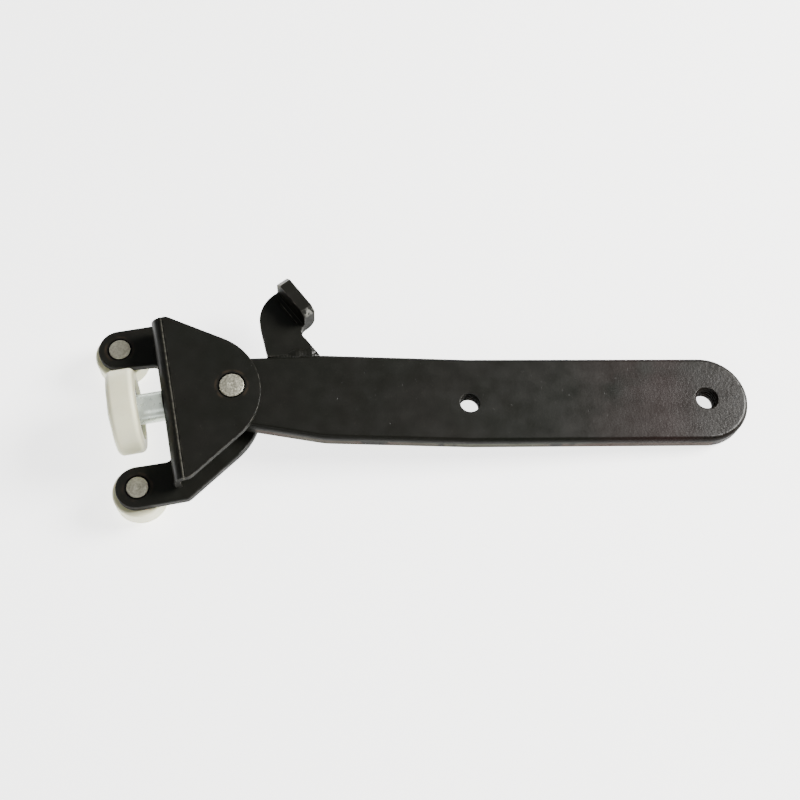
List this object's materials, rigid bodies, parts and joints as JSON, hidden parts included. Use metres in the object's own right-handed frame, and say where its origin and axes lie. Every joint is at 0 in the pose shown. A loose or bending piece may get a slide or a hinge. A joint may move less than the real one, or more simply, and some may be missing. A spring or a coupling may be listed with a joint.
{
  "type": "sliding door roller",
  "caption": "Flat steel arm with a swivelling bracket that carries a load roller and guide rollers, for hanging a sliding door in its track.",
  "frame": {"origin": "midway between the two tapped holes, on the arm's underside", "axes": "+X along the line of the two tapped holes, away from the pivot; +Z along the pivot pin, up through the cover plate; +Y towards the catch lug"},
  "size_m": [0.2196, 0.0777, 0.0311],
  "materials": {
    "black_paint": "semi-gloss black paint",
    "rivet_steel": "bare riveted steel",
    "zinc_plate": "bright zinc plate",
    "bearing_steel": "ground bearing steel",
    "nylon": "natural white nylon",
    "bronze": "plain bearing bronze"
  },
  "bodies": {
    "arm": {"arm_bar": "black_paint", "catch_lug": "black_paint", "pivot_bush": "bronze"},
    "bracket": {"cover_plate": "black_paint", "ear_plate": "black_paint", "pivot_pin": "rivet_steel", "pivot_washer_upper": "zinc_plate", "pivot_washer_lower": "zinc_plate", "load_axle": "zinc_plate", "load_washer": "zinc_plate", "load_bearing_inner_ring": "bearing_steel", "guide_pin_right": "rivet_steel", "guide_washer_right": "zinc_plate", "guide_pin_left": "rivet_steel", "guide_washer_left": "zinc_plate"},
    "load_roller": {"load_tyre": "nylon", "load_bearing_outer_ring": "bearing_steel", "load_bearing_shield_inner": "bearing_steel", "load_bearing_shield_outer": "bearing_steel"},
    "ball_set": {"load_bearing_balls": "bearing_steel", "load_bearing_cage": "bearing_steel"},
    "guide_right": {"guide_roller_right": "nylon", "guide_sleeve_right": "bronze"},
    "guide_left": {"guide_roller_left": "nylon", "guide_sleeve_left": "bronze"}
  },
  "joints": [
    {"name": "bracket_swivel", "type": "hinge", "parent": "arm", "child": "bracket", "pos_m": [-0.118, 0.0061, 0], "axis": [0, 0, 1], "range_deg": [-54, 35]},
    {"name": "load_roller_spin", "type": "hinge", "parent": "bracket", "child": "load_roller", "pos_m": [-0.15237, 0.00035, 0.0023], "axis": [-0.9863, -0.165, 0], "continuous": true},
    {"name": "ball_set_spin", "type": "hinge", "parent": "bracket", "child": "ball_set", "pos_m": [-0.15237, 0.00035, 0.0023], "axis": [-0.9863, -0.165, 0], "continuous": true},
    {"name": "guide_right_spin", "type": "hinge", "parent": "bracket", "child": "guide_right", "pos_m": [-0.15665, 0.02498, 0], "axis": [0, 0, 1], "continuous": true},
    {"name": "guide_left_spin", "type": "hinge", "parent": "bracket", "child": "guide_left", "pos_m": [-0.14839, -0.02433, 0], "axis": [0, 0, 1], "continuous": true}
  ],
  "couplings": [
    {"joint": "ball_set_spin", "follows": "load_roller_spin", "ratio": 0.629}
  ]
}
